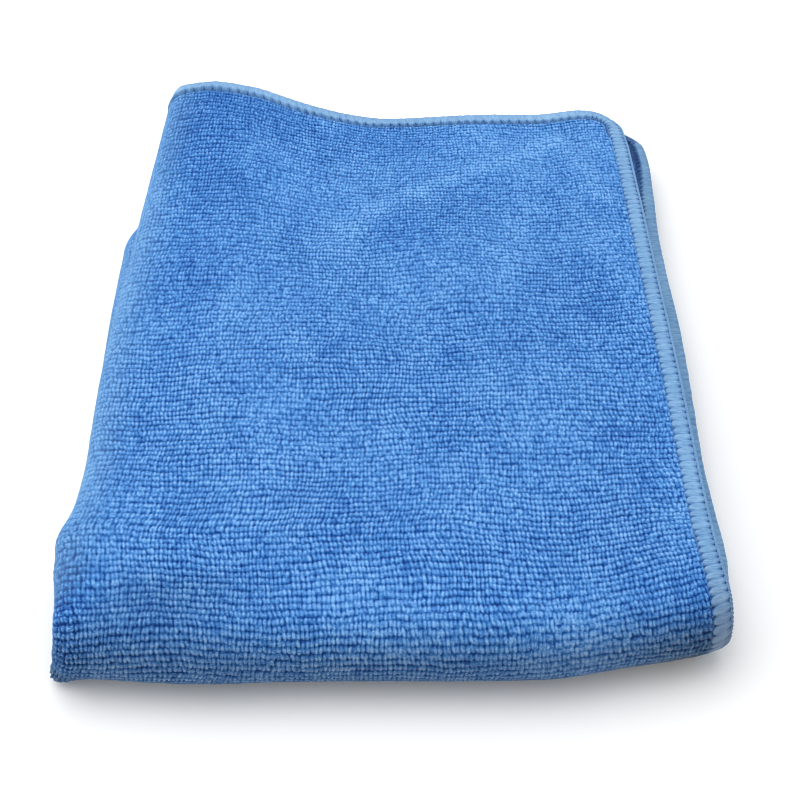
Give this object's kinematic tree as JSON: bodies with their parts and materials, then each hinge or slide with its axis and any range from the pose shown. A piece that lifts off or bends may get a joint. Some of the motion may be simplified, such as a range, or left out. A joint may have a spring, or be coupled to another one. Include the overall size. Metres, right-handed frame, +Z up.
{
  "type": "folded polishing cloth",
  "caption": "Blue terry microfibre cloth with an overlocked hem, folded in half twice; the upper half opens about the front fold.",
  "frame": {"origin": "middle of the base of the folded cloth, on the surface it lies on", "axes": "+X to the open right hem, +Y away from the front fold to the open back hem, +Z up"},
  "size_m": [0.156, 0.202, 0.02],
  "materials": {
    "terry": "looped microfibre pile, matte with a soft sheen",
    "thread": "fluffy textured polyester overlock thread, satin"
  },
  "bodies": {
    "lower_half": {"quarter_bottom": "terry", "face_looper_bottom": "thread", "back_looper_bottom": "thread", "needle_thread_bottom": "thread", "quarter_lower_inner": "terry", "face_looper_lower_inner": "thread", "back_looper_lower_inner": "thread", "needle_thread_lower_inner": "thread", "side_crease_lower": "terry", "face_looper_side_crease_lower": "thread", "back_looper_side_crease_lower": "thread", "needle_thread_side_crease_lower": "thread", "front_crease_outer": "terry", "face_looper_front_crease_outer": "thread", "back_looper_front_crease_outer": "thread", "needle_thread_front_crease_outer": "thread", "front_crease_inner": "terry", "face_looper_front_crease_inner": "thread", "back_looper_front_crease_inner": "thread", "needle_thread_front_crease_inner": "thread", "corner_fold": "terry"},
    "upper_half": {"quarter_upper_inner": "terry", "face_looper_upper_inner": "thread", "back_looper_upper_inner": "thread", "needle_thread_upper_inner": "thread", "quarter_top": "terry", "face_looper_top": "thread", "back_looper_top": "thread", "needle_thread_top": "thread", "side_crease_upper": "terry", "face_looper_side_crease_upper": "thread", "back_looper_side_crease_upper": "thread", "needle_thread_side_crease_upper": "thread"}
  },
  "joints": [
    {"name": "front_fold", "type": "hinge", "parent": "lower_half", "child": "upper_half", "pos_m": [0, -0.091, 0.01], "axis": [1, 0, 0], "range_deg": [0, 180], "deforming": ["front_crease_outer", "face_looper_front_crease_outer", "back_looper_front_crease_outer", "needle_thread_front_crease_outer", "front_crease_inner", "face_looper_front_crease_inner", "back_looper_front_crease_inner", "needle_thread_front_crease_inner", "corner_fold"]}
  ]
}
